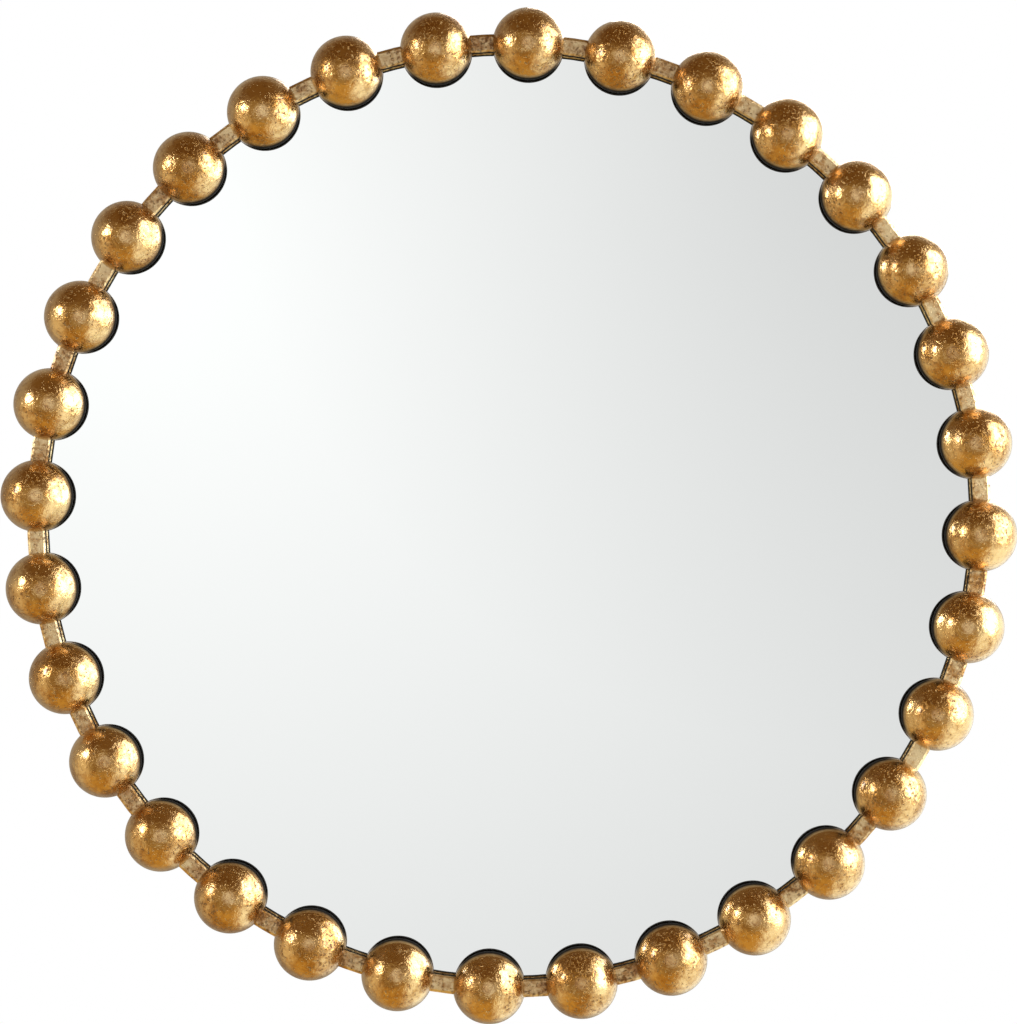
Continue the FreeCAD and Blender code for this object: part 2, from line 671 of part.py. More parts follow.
def make_first_ring():
    """Bend round wire into a D: a straight hinge bar, two bends, two legs and a half-round bow."""
    body = new_body("d_ring_left")
    bow_place = f"(ring_height - {RING_HALF_WIDTH})"
    half, corner, bow_y = value(RING_HALF_WIDTH), value(RING_BEND_RADIUS), value(bow_place)
    path = new_sketch(body, "path", "XZ_Plane")
    middle = path.addGeometry(Part.LineSegment(Vector(0, 0, 0), Vector(half - corner, 0, 0)))
    bend_right = draw_arc(path, Vector(half - corner, corner, 0), Vector(half - corner, 0, 0),
                          Vector(half, corner, 0))
    leg_right = path.addGeometry(Part.LineSegment(Vector(half, corner, 0), Vector(half, bow_y, 0)))
    bow = draw_arc(path, Vector(0, bow_y, 0), Vector(half, bow_y, 0), Vector(-half, bow_y, 0))
    leg_left = path.addGeometry(Part.LineSegment(Vector(-half, bow_y, 0), Vector(-half, corner, 0)))
    bend_left = draw_arc(path, Vector(corner - half, corner, 0), Vector(-half, corner, 0),
                         Vector(corner - half, 0, 0))
    closing = path.addGeometry(Part.LineSegment(Vector(corner - half, 0, 0), Vector(0, 0, 0)))
    chain = (middle, bend_right, leg_right, bow, leg_left, bend_left, closing)
    for curve, next_curve in zip(chain, chain[1:]):
        path.addConstraint(Sketcher.Constraint("Tangent", curve, 2, next_curve, 1))
    path.addConstraint(Sketcher.Constraint("Coincident", closing, 2, middle, 1))
    path.addConstraint(Sketcher.Constraint("Coincident", middle, 1, -1, 1))
    path.addConstraint(Sketcher.Constraint("Horizontal", middle))
    path.addConstraint(Sketcher.Constraint("Horizontal", closing))
    path.addConstraint(Sketcher.Constraint("Equal", bend_right, bend_left))
    path.addConstraint(Sketcher.Constraint("PointOnObject", bow, 3, -2))
    path.addConstraint(Sketcher.Constraint("Vertical", leg_right))
    fix_size(path, Sketcher.Constraint("Radius", bend_right, corner), RING_BEND_RADIUS)
    fix_size(path, Sketcher.Constraint("Radius", bow, half), RING_HALF_WIDTH)
    fix_size(path, Sketcher.Constraint("DistanceY", -1, 1, bow, 3, bow_y), bow_place)
    wire = new_sketch(body, "wire_section", "YZ_Plane")
    draw_circle(wire, "0", "0", "ring_wire / 2")
    ring = add_feature(body, "AdditivePipe", "bent_wire", wire)
    ring.Spine = path
    return body


def make_rings():
    """Bend the D-ring for each side, at rest with its bow up and leaning on the board."""
    left = make_first_ring()
    right = copy_body(left, "d_ring_right")
    for ring, side in zip((left, right), SIDES.values()):
        place_hanger(ring, side, RING_LEAN)
    return [left, right]


def make_strap_screws():
    """Screw both straps to the board, two screws each."""
    seat = f"{BOARD_BACK} + {STRAP_THICKNESS} - {WALL}"
    places = [(side, drop) for side in SIDES.values() for drop in STRAP_HOLES]
    screws = [make_screw("strap_screws_1", STRAP_THICKNESS)]
    screws += [
        copy_body(screws[0], f"strap_screws_{index}") for index in range(2, len(places) + 1)
    ]
    for screw, (side, drop) in zip(screws, places):
        link(
            screw,
            "Placement",
            f"placement(vector({side} * hanger_spacing / 2; {seat}; hanger_height - {drop});"
            f" rotation(vector(0; 1; 0); 0))",
        )
    return gather("strap_screws", screws)


# ---- Build, check and write ------------------------------------------------------------------

subparts = [
    *make_beads(),
    make_hoop(),
    make_glazing_tape(),
    make_glass(),
    make_foam_sheet(),
    make_board(),
    *make_lugs(),
    make_lug_screws(),
    *make_bumpers(),
    make_bumper_screws(),
    *make_straps(),
    make_strap_screws(),
    *make_rings(),
]
doc.recompute()

for thing in doc.Objects:
    if "Invalid" in thing.State or "Error" in thing.State:
        raise RuntimeError(f"{thing.Name} failed: {thing.State}")
for subpart in subparts:
    if subpart.Shape.isNull() or not subpart.Shape.isValid() or not subpart.Shape.Solids:
        raise RuntimeError(f"{subpart.Label} has no valid shape")

os.makedirs("parts", exist_ok=True)
for subpart in subparts:
    subpart.Shape.exportStep(f"parts/{subpart.Label}.step")
print(f"{len(subparts)} sub-parts written")
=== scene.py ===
import math

import bmesh
import bpy
from bpy.props import FloatProperty, FloatVectorProperty, IntProperty, PointerProperty
from mathutils import Matrix, Vector


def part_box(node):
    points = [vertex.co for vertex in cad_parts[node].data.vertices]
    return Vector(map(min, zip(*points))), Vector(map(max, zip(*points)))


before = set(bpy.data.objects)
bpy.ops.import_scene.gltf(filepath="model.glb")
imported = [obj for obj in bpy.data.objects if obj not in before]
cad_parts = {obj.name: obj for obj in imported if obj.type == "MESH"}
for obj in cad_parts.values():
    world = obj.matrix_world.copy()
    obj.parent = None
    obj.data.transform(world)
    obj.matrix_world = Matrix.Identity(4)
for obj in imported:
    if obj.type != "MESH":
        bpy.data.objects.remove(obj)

bl_info = {
    "name": "Beaded Wall Mirror",
    "version": (1, 0, 0),
    "blender": (4, 5, 0),
    "location": "View3D > Sidebar > Mirror",
    "description": "Finishes a round wall mirror framed by gilded balls and sets up its studio",
    "category": "Object",
}

MM = 0.001
Y, Z = 1, 2
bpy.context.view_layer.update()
BEADS = sorted(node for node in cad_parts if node.startswith("bead_"))
LUGS = sorted(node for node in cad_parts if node.startswith("lug_") and node != "lug_screws")
BUMPERS = sorted(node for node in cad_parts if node.startswith("wall_bumper_"))
SCREWS = ("lug_screws", "bumper_screws", "strap_screws")
HANGERS = ("hanger_strap_left", "hanger_strap_right", "d_ring_left", "d_ring_right")


def span(node, axis):
    """Give a node's lowest and highest place along one axis."""
    low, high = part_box(node)
    return low[axis], high[axis]


# bead_01 is the ball at the very top, so its centre gives the radius of the ring of balls.
BEAD_BOTTOM, BEAD_TOP = span("bead_01", Z)
BEAD_SIZE = BEAD_TOP - BEAD_BOTTOM
BEAD_PLANE = span("bead_01", Y)[0] + BEAD_SIZE / 2
BEAD_RING = BEAD_TOP - BEAD_SIZE / 2
HOOP_FRONT, HOOP_BACK = span("hoop", Y)
PANEL_EDGE = span("back_board", Z)[1]


def inner_radius(node):
    """Give the least distance of a node's points from the mirror's axis."""
    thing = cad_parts[node]
    points = (thing.matrix_world @ vertex.co for vertex in thing.data.vertices)
    return min(math.hypot(point.x, point.z) for point in points)


HOOP_INSIDE = inner_radius("hoop")


# ---- Settings --------------------------------------------------------------------------------


def linear(hex_text):
    """Turn an sRGB hex colour into Blender's linear red, green, blue and alpha."""
    parts = [int(hex_text[place:place + 2], 16) / 255 for place in (1, 3, 5)]
    return (
        *(part / 12.92 if part <= 0.04045 else ((part + 0.055) / 1.055) ** 2.4 for part in parts),
        1.0,
    )


def colour(name, description, hex_text):
    """Describe a colour that a user can change."""
    return FloatVectorProperty(
        name=name, description=description, subtype="COLOR", size=4, min=0, max=1,
        default=linear(hex_text),
    )


def length(name, description, metres):
    """Describe a length that a user can change."""
    return FloatProperty(
        name=name, description=description, subtype="DISTANCE", unit="LENGTH", default=metres,
    )


def share(name, description, default):
    """Describe a share from nothing to all."""
    return FloatProperty(
        name=name, description=description, subtype="FACTOR", min=0, max=1, default=default,
    )


class GildingSettings(bpy.types.PropertyGroup):
    """Gold leaf of the balls and the hoop."""

    leaf: colour("Leaf", "Gold leaf where it lies whole", "#DDB87E")
    leaf_deep: colour("Deep leaf", "Gold leaf where it is doubled or toned", "#B07F3C")
    bole: colour("Bole", "Red-brown clay under the leaf", "#5C3216")
    toning: colour("Toning", "Dark glaze left in the pits", "#3A2412")
    # This colour is both the dull black paint and the painted shade that darkens the balls and the
    # hoop on their side towards the glass.
    blacking_and_shade: colour("Blacking", "Dull black on faces that only the glass would show", "#0B0806")
    hoop_leaf: colour("Hoop leaf", "Paler leaf on the flat bar", "#EED9AB")
    patch_size: length("Patch", "Width of a cloud of deeper gold", 16 * MM)
    swell_size: length("Swell", "Width of a low swell in the gesso under the leaf", 9 * MM)
    swell_relief: length("Swell relief", "Height range of the swells", 0.5 * MM)
    grain_size: length("Grain", "Width of a brush mark or a grain in the gesso", 2.4 * MM)
    grain_relief: length("Grain relief", "Height range of the grain", 0.75 * MM)
    speck_size: length("Speck", "Width of a small pit that holds glaze", 1.2 * MM)
    roughness: share("Roughness", "How far the leaf blurs what it reflects", 0.21)
    hoop_dullness: share("Hoop dullness", "Roughness the hoop has beyond the balls'", 0.2)
    hoop_glaze: share("Hoop glaze", "How much wider the hoop's pits are than the balls'", 0.05)
    varnish: share("Varnish", "Clear varnish over the leaf", 0.85)
    varnish_roughness: share("Varnish roughness", "How far the varnish blurs", 0.16)
    glaze_depth: share("Glaze", "How far the glaze hides the leaf in a pit", 0.5)
    dull_roughness: share("Dull", "Blur of glaze, clay and black paint", 0.6)


class PanelSettings(bpy.types.PropertyGroup):
    """Glass, foam and board."""

    silver: colour("Silver", "What the silvered glass gives back", "#F4F6F5")
    glass_edge: colour("Glass edge", "Green of the glass seen through its edge", "#5E8C7C")
    backing_paint: colour("Backing paint", "Paint over the silver", "#6D7276")
    backing_paint_thin: colour("Thin paint", "Backing paint where it is thin", "#656A6E")
    paint_patch: length("Paint patch", "Width of a patch of the backing paint", 60 * MM)
    tape: colour("Tape", "Skin of the closed-cell foam tape", "#191919")
    tape_cell: colour("Tape cell", "Open cell of the tape", "#121212")
    tape_cell_size: length("Tape cell size", "Width of a cell of the tape", 0.8 * MM)
    foam: colour("Foam", "Skin of the white foam sheet", "#E9E8E3")
    foam_cell: colour("Foam cell", "Open cell of the foam sheet", "#CBCAC5")
    foam_cell_size: length("Foam cell size", "Width of a cell of the foam sheet", 1.6 * MM)
    board: colour("Board", "Raw fibreboard", "#A9845B")
    board_fibre: colour("Board fibre", "Darker fibres in the board", "#7E5C3A")
    board_cloud: length("Board cloud", "Width of a paler patch of the board", 70 * MM)
    fibre_width: length("Fibre", "Width of a fibre, drawn coarse enough to show", 0.9 * MM)


class HardwareSettings(bpy.types.PropertyGroup):
    """Lugs, screws, hangers and bumpers."""

    lacquer: colour("Lacquer", "Black lacquer on the lugs", "#24211E")
    dust: colour("Dust", "Lacquer under a little dust", "#383430")
    dust_size: length("Dust patch", "Width of a patch of dust", 9 * MM)
    peel_size: length("Peel", "Width of a bump of orange peel", 1.1 * MM)
    zinc: colour("Zinc", "Bright zinc plate", "#B9BCBD")
    zinc_tint: colour("Zinc tint", "Yellowish cast of the plate's passivation", "#B4AC92")
    cast_size: length("Cast", "Width of a patch of the yellowish cast", 6 * MM)
    crystal_size: length("Crystal", "Width of a crystal of the plate, drawn coarse", 0.7 * MM)
    rubber: colour("Rubber", "Moulded black rubber", "#1C1C1D")
    bloom: colour("Bloom", "Rubber under its greyish bloom", "#303031")
    bloom_size: length("Bloom patch", "Width of a patch of bloom", 7 * MM)
    mould_grain: length("Mould grain", "Width of the mould's texture, drawn coarse", 0.5 * MM)


class StudioSettings(bpy.types.PropertyGroup):
    """Camera, lights and floor."""

    camera_distance: length("Camera", "Camera to the plane of the balls' centres", 2.6)
    pixels_per_metre: FloatProperty(
        name="Pixels per metre", description="Scale of the picture at the balls", default=1111.5,
    )
    roll: FloatProperty(
        name="Roll", description="The mirror looks turned clockwise by this much",
        subtype="ANGLE", unit="ROTATION", default=math.radians(2.4),
    )
    picture_width: IntProperty(
        name="Width", description="Picture width in pixels", default=1017,
    )
    picture_height: IntProperty(
        name="Height", description="Picture height in pixels", default=1024,
    )
    centre_right: FloatProperty(
        name="Centre right", description="Mirror's middle from the left, in pixels", default=508.9,
    )
    centre_down: FloatProperty(
        name="Centre down", description="Mirror's middle from the top, in pixels", default=515.7,
    )
    floor: colour("Floor", "Pale painted studio floor", "#E6E3DD")
    floor_worn: colour("Worn floor", "Floor paint where it is walked on", "#E2DFD9")
    floor_drop: length("Floor drop", "Floor below the middle of the mirror", 1.05)
    world_strength: share("World", "Light of the world on dull surfaces", 0.45)


SETTINGS = {
    "mirror_gilding": GildingSettings,
    "mirror_panel": PanelSettings,
    "mirror_hardware": HardwareSettings,
    "mirror_studio": StudioSettings,
}


# ---- Node and mesh helpers -------------------------------------------------------------------


def add_node(tree, kind, inputs=None, output=0, **settings):
    """Add a node with its settings, link or set its inputs, and give the output asked for.

    A mix node's inputs are 0 for the factor, 2 and 3 for numbers, and 6 and 7 for colours, and
    its colour comes out of output 2.
    """
    node = tree.nodes.new(kind)
    for name, setting in settings.items():
        setattr(node, name, setting)
    for name, given in (inputs or {}).items():
        if isinstance(given, bpy.types.NodeSocket):
            tree.links.new(given, node.inputs[name])
        else:
            node.inputs[name].default_value = given
    return node.outputs[output] if node.outputs else None


def new_material(name):
    """Make an empty node material; return it and its tree."""
    material = bpy.data.materials.new(name)
    material.use_nodes = True
    material.node_tree.nodes.clear()
    return material, material.node_tree


def dress_nodes(material, nodes):
    """Give a material to the model's own nodes."""
    for node in nodes:
        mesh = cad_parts[node].data
        mesh.materials.clear()
        mesh.materials.append(material)


# ---- Gilding ---------------------------------------------------------------------------------


def gold_leaf_material(
    name, leaf, settings, roughness, glaze_share, shade_radii, shade_depths, blacked,
):
    """Antique gold leaf: metal leaf laid on red clay, rubbed, glazed and thinly varnished.

    It gives a warm metal whose hand-laid unevenness breaks every reflection into glints and dark
    specks, with dull clay and glaze showing where the leaf has gone; glaze_share widens those
    pits. On the side towards the glass, a painted shade turns the leaf dull and dark: it
    deepens from the second radius given, measured from the mirror's axis, to the first, and from
    the first depth given to the second. Faces within the radius and behind the depth in blacked
    would show in the glass, so they are painted a dull black.
    """
    material, tree = new_material(name)
    place = add_node(tree, "ShaderNodeTexCoord", output="Object")
    clouds = add_node(
        tree, "ShaderNodeTexNoise",
        {"Vector": place, "Scale": 0.5 / settings.patch_size, "Detail": 5, "Roughness": 0.6,
         "Distortion": 0.5},
    )
    swell = add_node(
        tree, "ShaderNodeTexNoise",
        {"Vector": place, "Scale": 0.5 / settings.swell_size, "Detail": 2, "Roughness": 0.5},
    )
    grain = add_node(
        tree, "ShaderNodeTexNoise",
        {"Vector": place, "Scale": 0.5 / settings.grain_size, "Detail": 3, "Roughness": 0.6,
         "Distortion": 0.4},
    )
    specks = add_node(
        tree, "ShaderNodeTexNoise",
        {"Vector": place, "Scale": 0.5 / settings.speck_size, "Detail": 3, "Roughness": 0.65},
    )

    # Doubled leaf and thin glaze make the deeper gold; it follows the clouds and the grain.
    tone = add_node(tree, "ShaderNodeMix", {0: 0.4, 2: clouds, 3: grain})
    deep = add_node(
        tree, "ShaderNodeMapRange", {"Value": tone, "From Min": 0.4, "From Max": 0.62},
        interpolation_type="SMOOTHSTEP",
    )
    gold = add_node(
        tree, "ShaderNodeMix", {0: deep, 6: leaf, 7: settings.leaf_deep}, output=2,
        data_type="RGBA",
    )

    # Glaze stays in small pits, most of them inside the clouds, and clay shows between.
    shelter = add_node(
        tree, "ShaderNodeMapRange",
        {"Value": clouds, "From Min": 0.38, "From Max": 0.66, "To Max": 0.12},
    )
    sheltered = add_node(tree, "ShaderNodeMath", {0: specks, 1: shelter}, operation="ADD")
    pits = add_node(
        tree, "ShaderNodeMapRange",
        {"Value": sheltered, "From Min": 0.64 - glaze_share, "From Max": 0.74 - glaze_share},
        interpolation_type="SMOOTHSTEP",
    )
    ground = add_node(
        tree, "ShaderNodeMix", {0: grain, 6: settings.toning, 7: settings.bole}, output=2,
        data_type="RGBA",
    )
    pitted = add_node(
        tree, "ShaderNodeMath", {0: pits, 1: settings.glaze_depth}, operation="MULTIPLY",
    )
    gilded = add_node(
        tree, "ShaderNodeMix", {0: pitted, 6: gold, 7: ground}, output=2, data_type="RGBA",
    )

    # Where the painted shade lies on the side towards the glass, and where the black paint lies.
    flat = add_node(tree, "ShaderNodeVectorMath", {0: place, 1: (1, 0, 1)}, operation="MULTIPLY")
    radius = add_node(tree, "ShaderNodeVectorMath", {0: flat}, output="Value", operation="LENGTH")
    depth = add_node(tree, "ShaderNodeSeparateXYZ", {0: place}, output="Y")
    near_axis = add_node(
        tree, "ShaderNodeMapRange",
        {"Value": radius, "From Min": shade_radii[0], "From Max": shade_radii[1], "To Min": 1.0,
         "To Max": 0.0},
        interpolation_type="SMOOTHSTEP",
    )
    near_glass = add_node(
        tree, "ShaderNodeMapRange",
        {"Value": depth, "From Min": shade_depths[0], "From Max": shade_depths[1]},
        interpolation_type="SMOOTHSTEP",
    )
    painted_shade = add_node(tree, "ShaderNodeMath", {0: near_axis, 1: near_glass}, operation="MULTIPLY")
    inside = add_node(tree, "ShaderNodeMath", {0: radius, 1: blacked[0]}, operation="LESS_THAN")
    behind = add_node(tree, "ShaderNodeMath", {0: depth, 1: blacked[1]}, operation="GREATER_THAN")
    hidden = add_node(tree, "ShaderNodeMath", {0: inside, 1: behind}, operation="MULTIPLY")
    dark = add_node(tree, "ShaderNodeMath", {0: hidden, 1: painted_shade}, operation="MAXIMUM")

    # The leaf shines as metal under varnish; glaze, clay, black paint and the painted shade are
    # dull.
    bare = add_node(tree, "ShaderNodeMath", {0: pits, 1: dark}, operation="MAXIMUM")
    metal = add_node(tree, "ShaderNodeMapRange", {"Value": bare, "To Min": 1.0, "To Max": 0.35})
    metal_left = add_node(tree, "ShaderNodeMix", {0: dark, 2: metal, 3: 0.0})
    blur = add_node(
        tree, "ShaderNodeMapRange",
        {"Value": tone, "From Min": 0.35, "From Max": 0.65, "To Min": roughness - 0.04,
         "To Max": roughness + 0.08},
    )
    dulled = add_node(tree, "ShaderNodeMix", {0: bare, 2: blur, 3: settings.dull_roughness})
    varnish = add_node(
        tree, "ShaderNodeMapRange", {"Value": bare, "To Min": settings.varnish, "To Max": 0.0},
    )

    # The pits lie in the grain, and the grain on the swells.
    swollen = add_node(
        tree, "ShaderNodeBump", {"Height": swell, "Distance": settings.swell_relief},
    )
    dented = add_node(
        tree, "ShaderNodeMath", {0: pits, 1: -0.5, 2: grain}, operation="MULTIPLY_ADD",
    )
    shader = add_node(
        tree, "ShaderNodeBsdfPrincipled",
        {
            "Base Color": add_node(
                tree, "ShaderNodeMix", {0: dark, 6: gilded, 7: settings.blacking_and_shade}, output=2,
                data_type="RGBA",
            ),
            "Metallic": metal_left,
            "Roughness": dulled,
            "Specular IOR Level": add_node(
                tree, "ShaderNodeMapRange", {"Value": dark, "To Min": 0.5, "To Max": 0.05},
            ),
            "Coat Weight": varnish,
            "Coat Roughness": settings.varnish_roughness,
            "Normal": add_node(
                tree, "ShaderNodeBump",
                {"Height": dented, "Distance": settings.grain_relief, "Normal": swollen},
            ),
        },
    )
    add_node(tree, "ShaderNodeOutputMaterial", {"Surface": shader})
    return material


class MIRROR_OT_gild_beads(bpy.types.Operator):
    """Gild the turned balls"""

    bl_idname = "mirror.gild_beads"
    bl_label = "Gild the balls"

    def execute(self, context):
        settings = context.scene.mirror_gilding
        half = BEAD_SIZE / 2
        gold = gold_leaf_material(
            "gold_leaf_on_turned_wood", settings.leaf, settings, settings.roughness,
            glaze_share=0.0,
            # Painted shade on each ball's flank towards the mirror's axis and the glass.
            shade_radii=(BEAD_RING - 0.7 * half, BEAD_RING - 0.2 * half),
            shade_depths=(BEAD_PLANE - 0.42 * half, BEAD_PLANE - 0.16 * half),
            blacked=(PANEL_EDGE + 2 * MM, HOOP_BACK - 0.1 * MM),
        )
        dress_nodes(gold, BEADS)
        return {"FINISHED"}


class MIRROR_OT_gild_hoop(bpy.types.Operator):
    """Gild the flat hoop between the balls"""

    bl_idname = "mirror.gild_hoop"
    bl_label = "Gild the hoop"

    def execute(self, context):
        settings = context.scene.mirror_gilding
        gold = gold_leaf_material(
            "gold_leaf_on_flat_steel", settings.hoop_leaf, settings,
            settings.roughness + settings.hoop_dullness,
            glaze_share=settings.hoop_glaze,
            # Painted shade along the hoop's inner edge.
            shade_radii=(HOOP_INSIDE, HOOP_INSIDE + 1.2 * MM),
            shade_depths=(HOOP_FRONT - MM, HOOP_FRONT),
            blacked=(HOOP_INSIDE + 0.1 * MM, HOOP_FRONT),
        )
        dress_nodes(gold, ["hoop"])
        return {"FINISHED"}


# ---- Mirror panel ----------------------------------------------------------------------------


def silvered_glass_material(settings):
    """Silvered float glass: a clear even reflection in front, green edges, grey paint behind."""
    material, tree = new_material("silvered_float_glass")
    place = add_node(tree, "ShaderNodeTexCoord", output="Object")
    normal = add_node(tree, "ShaderNodeNewGeometry", output="Normal")
    facing = add_node(tree, "ShaderNodeSeparateXYZ", {0: normal}, output="Y")
    front = add_node(tree, "ShaderNodeMath", {0: facing, 1: -0.7}, operation="LESS_THAN")
    back = add_node(tree, "ShaderNodeMath", {0: facing, 1: 0.7}, operation="GREATER_THAN")
    brushing = add_node(
        tree, "ShaderNodeTexNoise",
        {"Vector": place, "Scale": 1 / settings.paint_patch, "Detail": 4},
    )
    paint = add_node(
        tree, "ShaderNodeMix",
        {0: brushing, 6: settings.backing_paint, 7: settings.backing_paint_thin}, output=2,
        data_type="RGBA",
    )
    edge_or_paint = add_node(
        tree, "ShaderNodeMix", {0: back, 6: settings.glass_edge, 7: paint}, output=2,
        data_type="RGBA",
    )
    dull = add_node(tree, "ShaderNodeMapRange", {"Value": front, "To Min": 0.35, "To Max": 0.0})
    haze = add_node(
        tree, "ShaderNodeMapRange",
        {"Value": brushing, "From Min": 0.3, "From Max": 0.7, "To Max": 0.006},
    )
    shader = add_node(
        tree, "ShaderNodeBsdfPrincipled",
        {
            "Base Color": add_node(
                tree, "ShaderNodeMix", {0: front, 6: edge_or_paint, 7: settings.silver}, output=2,
                data_type="RGBA",
            ),
            "Metallic": front,
            "Roughness": add_node(tree, "ShaderNodeMath", {0: dull, 1: haze}, operation="ADD"),
        },
    )
    add_node(tree, "ShaderNodeOutputMaterial", {"Surface": shader})
    return material


def foam_material(name, skin, cell, cell_size, roughness):
    """Closed-cell foam: dull, with fine cells cut open on its surface."""
    material, tree = new_material(name)
    place = add_node(tree, "ShaderNodeTexCoord", output="Object")
    cells = add_node(tree, "ShaderNodeTexVoronoi", {"Vector": place, "Scale": 1 / cell_size})
    opened = add_node(
        tree, "ShaderNodeMapRange", {"Value": cells, "From Min": 0.2, "From Max": 0.7},
    )
    shader = add_node(
        tree, "ShaderNodeBsdfPrincipled",
        {
            "Base Color": add_node(
                tree, "ShaderNodeMix", {0: opened, 6: skin, 7: cell}, output=2, data_type="RGBA",
            ),
            "Roughness": roughness,
            "Normal": add_node(tree, "ShaderNodeBump", {"Height": cells, "Distance": 0.1 * MM}),
        },
    )
    add_node(tree, "ShaderNodeOutputMaterial", {"Surface": shader})
    return material


def fibreboard_material(settings):
    """Raw fibreboard: matted wood fibres pressed flat, dull, with faint sanding marks."""
    material, tree = new_material("raw_fibreboard")
    place = add_node(tree, "ShaderNodeTexCoord", output="Object")
    lengthways = add_node(
        tree, "ShaderNodeMapping", {"Vector": place, "Scale": (0.35, 1.0, 1.0)},
    )
    fibres = add_node(
        tree, "ShaderNodeTexNoise",
        {"Vector": lengthways, "Scale": 0.5 / settings.fibre_width, "Detail": 5, "Roughness": 0.7,
         "Distortion": 1.2},
    )
    clouds = add_node(
        tree, "ShaderNodeTexNoise",
        {"Vector": place, "Scale": 0.5 / settings.board_cloud, "Detail": 3},
    )
    tone = add_node(tree, "ShaderNodeMix", {0: 0.15, 2: fibres, 3: clouds})
    paler = add_node(
        tree, "ShaderNodeMapRange", {"Value": tone, "From Min": 0.35, "From Max": 0.68},
        interpolation_type="SMOOTHSTEP",
    )
    shader = add_node(
        tree, "ShaderNodeBsdfPrincipled",
        {
            "Base Color": add_node(
                tree, "ShaderNodeMix", {0: paler, 6: settings.board_fibre, 7: settings.board},
                output=2, data_type="RGBA",
            ),
            "Roughness": 0.78,
            "Normal": add_node(tree, "ShaderNodeBump", {"Height": fibres, "Distance": 0.12 * MM}),
        },
    )
    add_node(tree, "ShaderNodeOutputMaterial", {"Surface": shader})
    return material


class MIRROR_OT_finish_panel(bpy.types.Operator):
    """Silver the glass and finish the tape, foam and board behind it"""

    bl_idname = "mirror.finish_panel"
    bl_label = "Finish the panel"

    def execute(self, context):
        settings = context.scene.mirror_panel
        dress_nodes(silvered_glass_material(settings), ["mirror_glass"])
        tape = foam_material(
            "black_foam_tape", settings.tape, settings.tape_cell, settings.tape_cell_size,
            roughness=0.85,
        )
        dress_nodes(tape, ["glazing_tape"])
        foam = foam_material(
            "white_foam_sheet", settings.foam, settings.foam_cell, settings.foam_cell_size,
            roughness=0.7,
        )
        dress_nodes(foam, ["foam_sheet"])
        dress_nodes(fibreboard_material(settings), ["back_board"])
        return {"FINISHED"}


# ---- Hardware --------------------------------------------------------------------------------


def lacquered_steel_material(settings):
    """Black lacquer on bent steel strip: satin, with a slight orange peel and a little dust."""
    material, tree = new_material("black_lacquered_steel")
    place = add_node(tree, "ShaderNodeTexCoord", output="Object")
    peel = add_node(
        tree, "ShaderNodeTexNoise",
        {"Vector": place, "Scale": 0.5 / settings.peel_size, "Detail": 1},
    )
    dust = add_node(
        tree, "ShaderNodeTexNoise",
        {"Vector": place, "Scale": 0.5 / settings.dust_size, "Detail": 4},
    )
    dusty = add_node(
        tree, "ShaderNodeMapRange", {"Value": dust, "From Min": 0.45, "From Max": 0.75},
    )
    shader = add_node(
        tree, "ShaderNodeBsdfPrincipled",
        {
            "Base Color": add_node(
                tree, "ShaderNodeMix", {0: dusty, 6: settings.lacquer, 7: settings.dust}, output=2,
                data_type="RGBA",
            ),
            "IOR": 1.5,
            "Roughness": add_node(
                tree, "ShaderNodeMapRange",
                {"Value": dust, "From Min": 0.3, "From Max": 0.7, "To Min": 0.34, "To Max": 0.5},
            ),
            "Normal": add_node(tree, "ShaderNodeBump", {"Height": peel, "Distance": 0.03 * MM}),
        },
    )
    add_node(tree, "ShaderNodeOutputMaterial", {"Surface": shader})
    return material


def zinc_plate_material(settings):
    """Zinc-plated steel: a bright dull-edged metal with a faint yellow passivation."""
    material, tree = new_material("zinc_plated_steel")
    place = add_node(tree, "ShaderNodeTexCoord", output="Object")
    cast = add_node(
        tree, "ShaderNodeTexNoise",
        {"Vector": place, "Scale": 0.5 / settings.cast_size, "Detail": 4},
    )
    crystals = add_node(
        tree, "ShaderNodeTexNoise",
        {"Vector": place, "Scale": 0.5 / settings.crystal_size, "Detail": 2},
    )
    tinted = add_node(
        tree, "ShaderNodeMapRange", {"Value": cast, "From Min": 0.4, "From Max": 0.7},
    )
    shader = add_node(
        tree, "ShaderNodeBsdfPrincipled",
        {
            "Base Color": add_node(
                tree, "ShaderNodeMix", {0: tinted, 6: settings.zinc, 7: settings.zinc_tint},
                output=2, data_type="RGBA",
            ),
            "Metallic": 1.0,
            "Roughness": add_node(
                tree, "ShaderNodeMapRange",
                {"Value": crystals, "From Min": 0.3, "From Max": 0.7, "To Min": 0.26,
                 "To Max": 0.42},
            ),
            "Normal": add_node(
                tree, "ShaderNodeBump", {"Height": crystals, "Distance": 0.02 * MM},
            ),
        },
    )
    add_node(tree, "ShaderNodeOutputMaterial", {"Surface": shader})
    return material


